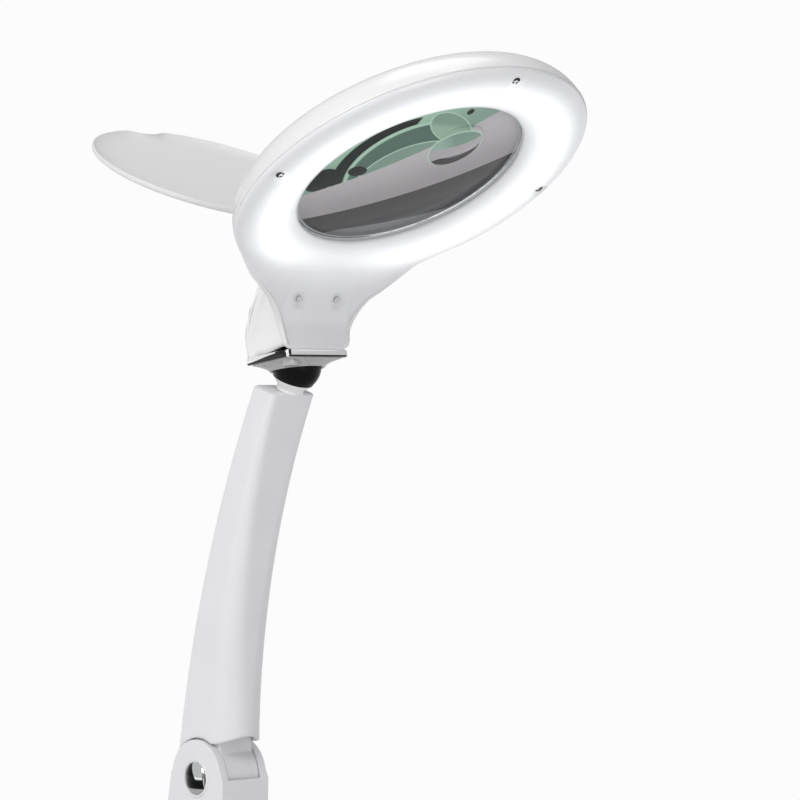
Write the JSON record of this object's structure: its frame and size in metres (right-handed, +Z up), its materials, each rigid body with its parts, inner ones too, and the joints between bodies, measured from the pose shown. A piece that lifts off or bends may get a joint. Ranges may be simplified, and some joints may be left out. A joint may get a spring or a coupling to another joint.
{
  "type": "illuminated table magnifier",
  "caption": "Table magnifier lamp with a lit ring head, round lens, flip-up lens cover, ball joint, folding arm and weighted base.",
  "frame": {"origin": "centre of the base's underside, on the surface that it stands on", "axes": "+Z up; -Y the way the head's tip points (towards the user); +X to the user's right"},
  "size_m": [0.1604, 0.276, 0.51],
  "materials": {
    "housing_white": "satin-gloss moulded",
    "opal_white": "translucent opal, semi-gloss",
    "arm_white": "satin-gloss moulded",
    "cover_white": "satin-gloss moulded",
    "base_white": "satin-gloss moulded",
    "clear_glass": "polished",
    "tube_glow": "phosphor-coated, lit",
    "bright_chrome": "polished",
    "cap_silver": "fine metallic satin",
    "ball_black": "gloss",
    "fibre_dark": "matte",
    "pin_steel": "turned",
    "screw_black": "blackened",
    "bush_brass": "turned",
    "weight_iron": "as cast",
    "plate_steel": "zinc plated",
    "sole_rubber": "matte",
    "gland_rubber": "matte",
    "board_green": "satin",
    "reflector_white": "gloss",
    "clip_steel": "spring",
    "switch_grey": "fine texture",
    "connector_white": "fine texture"
  },
  "bodies": {
    "base": {"base_cover": "base_white", "base_plate": "plate_steel", "ballast_weight": "weight_iron", "non_slip_sole": "sole_rubber", "base_screws": "pin_steel", "pedestal_fork": "base_white", "fork_bolts": "pin_steel", "cord_gland": "gland_rubber", "switch_frame": "switch_grey", "foot_pin": "pin_steel", "foot_caps": "bright_chrome"},
    "rocker": {"switch_rocker": "switch_grey"},
    "lower_arm": {"lower_arm_channel": "arm_white", "lower_arm_strip": "arm_white", "foot_bush": "bush_brass", "foot_washers": "fibre_dark", "elbow_pin": "pin_steel", "elbow_caps": "bright_chrome"},
    "upper_arm": {"upper_arm_channel": "arm_white", "upper_arm_strip": "arm_white", "elbow_bush": "bush_brass", "elbow_washers": "fibre_dark", "swivel_bush": "bush_brass"},
    "ball": {"ball_stem": "arm_white", "joint_ball": "ball_black", "stem_circlip": "clip_steel"},
    "pad": {"friction_pad": "fibre_dark"},
    "head": {"neck_plate": "bright_chrome", "socket_cap": "cap_silver", "clamp_screw": "pin_steel", "light_cover": "opal_white", "head_housing": "housing_white", "cover_screws": "screw_black", "lens": "clear_glass", "lens_insert": "clear_glass", "lens_retaining_ring": "housing_white", "reflector": "reflector_white", "ring_tube": "tube_glow", "tube_connector": "connector_white", "tube_clips": "clip_steel", "driver_board": "board_green", "cover_hinge_pin": "pin_steel"},
    "cover": {"lens_cover": "cover_white"}
  },
  "joints": [
    {"name": "foot_tilt", "type": "hinge", "parent": "base", "child": "lower_arm", "pos_m": [0, 0.045, 0.05], "axis": [1, 0, 0], "range_deg": [-15, 60]},
    {"name": "elbow_tilt", "type": "hinge", "parent": "lower_arm", "child": "upper_arm", "pos_m": [0, 0.02, 0.2], "axis": [1, 0, 0], "range_deg": [-8, 33]},
    {"name": "head_swivel", "type": "hinge", "parent": "upper_arm", "child": "ball", "pos_m": [0, -0.033, 0.3803], "axis": [0, -0.4226, 0.9063], "range_deg": [-120, 120]},
    {"name": "head_roll", "type": "hinge", "parent": "ball", "child": "pad", "pos_m": [0, -0.033, 0.3803], "axis": [0, -0.9063, -0.4226], "range_deg": [-9, 9]},
    {"name": "head_tilt", "type": "hinge", "parent": "pad", "child": "head", "pos_m": [0, -0.033, 0.3803], "axis": [1, 0, 0], "range_deg": [-1, 70]},
    {"name": "cover_flip", "type": "hinge", "parent": "head", "child": "cover", "pos_m": [0, -0.03756, 0.44065], "axis": [1, 0, 0], "range_deg": [0, 125.86]},
    {"name": "rocker_tip", "type": "hinge", "parent": "base", "child": "rocker", "pos_m": [0.038, -0.058, 0.028], "axis": [1, 0, 0], "range_deg": [0, 16]}
  ]
}
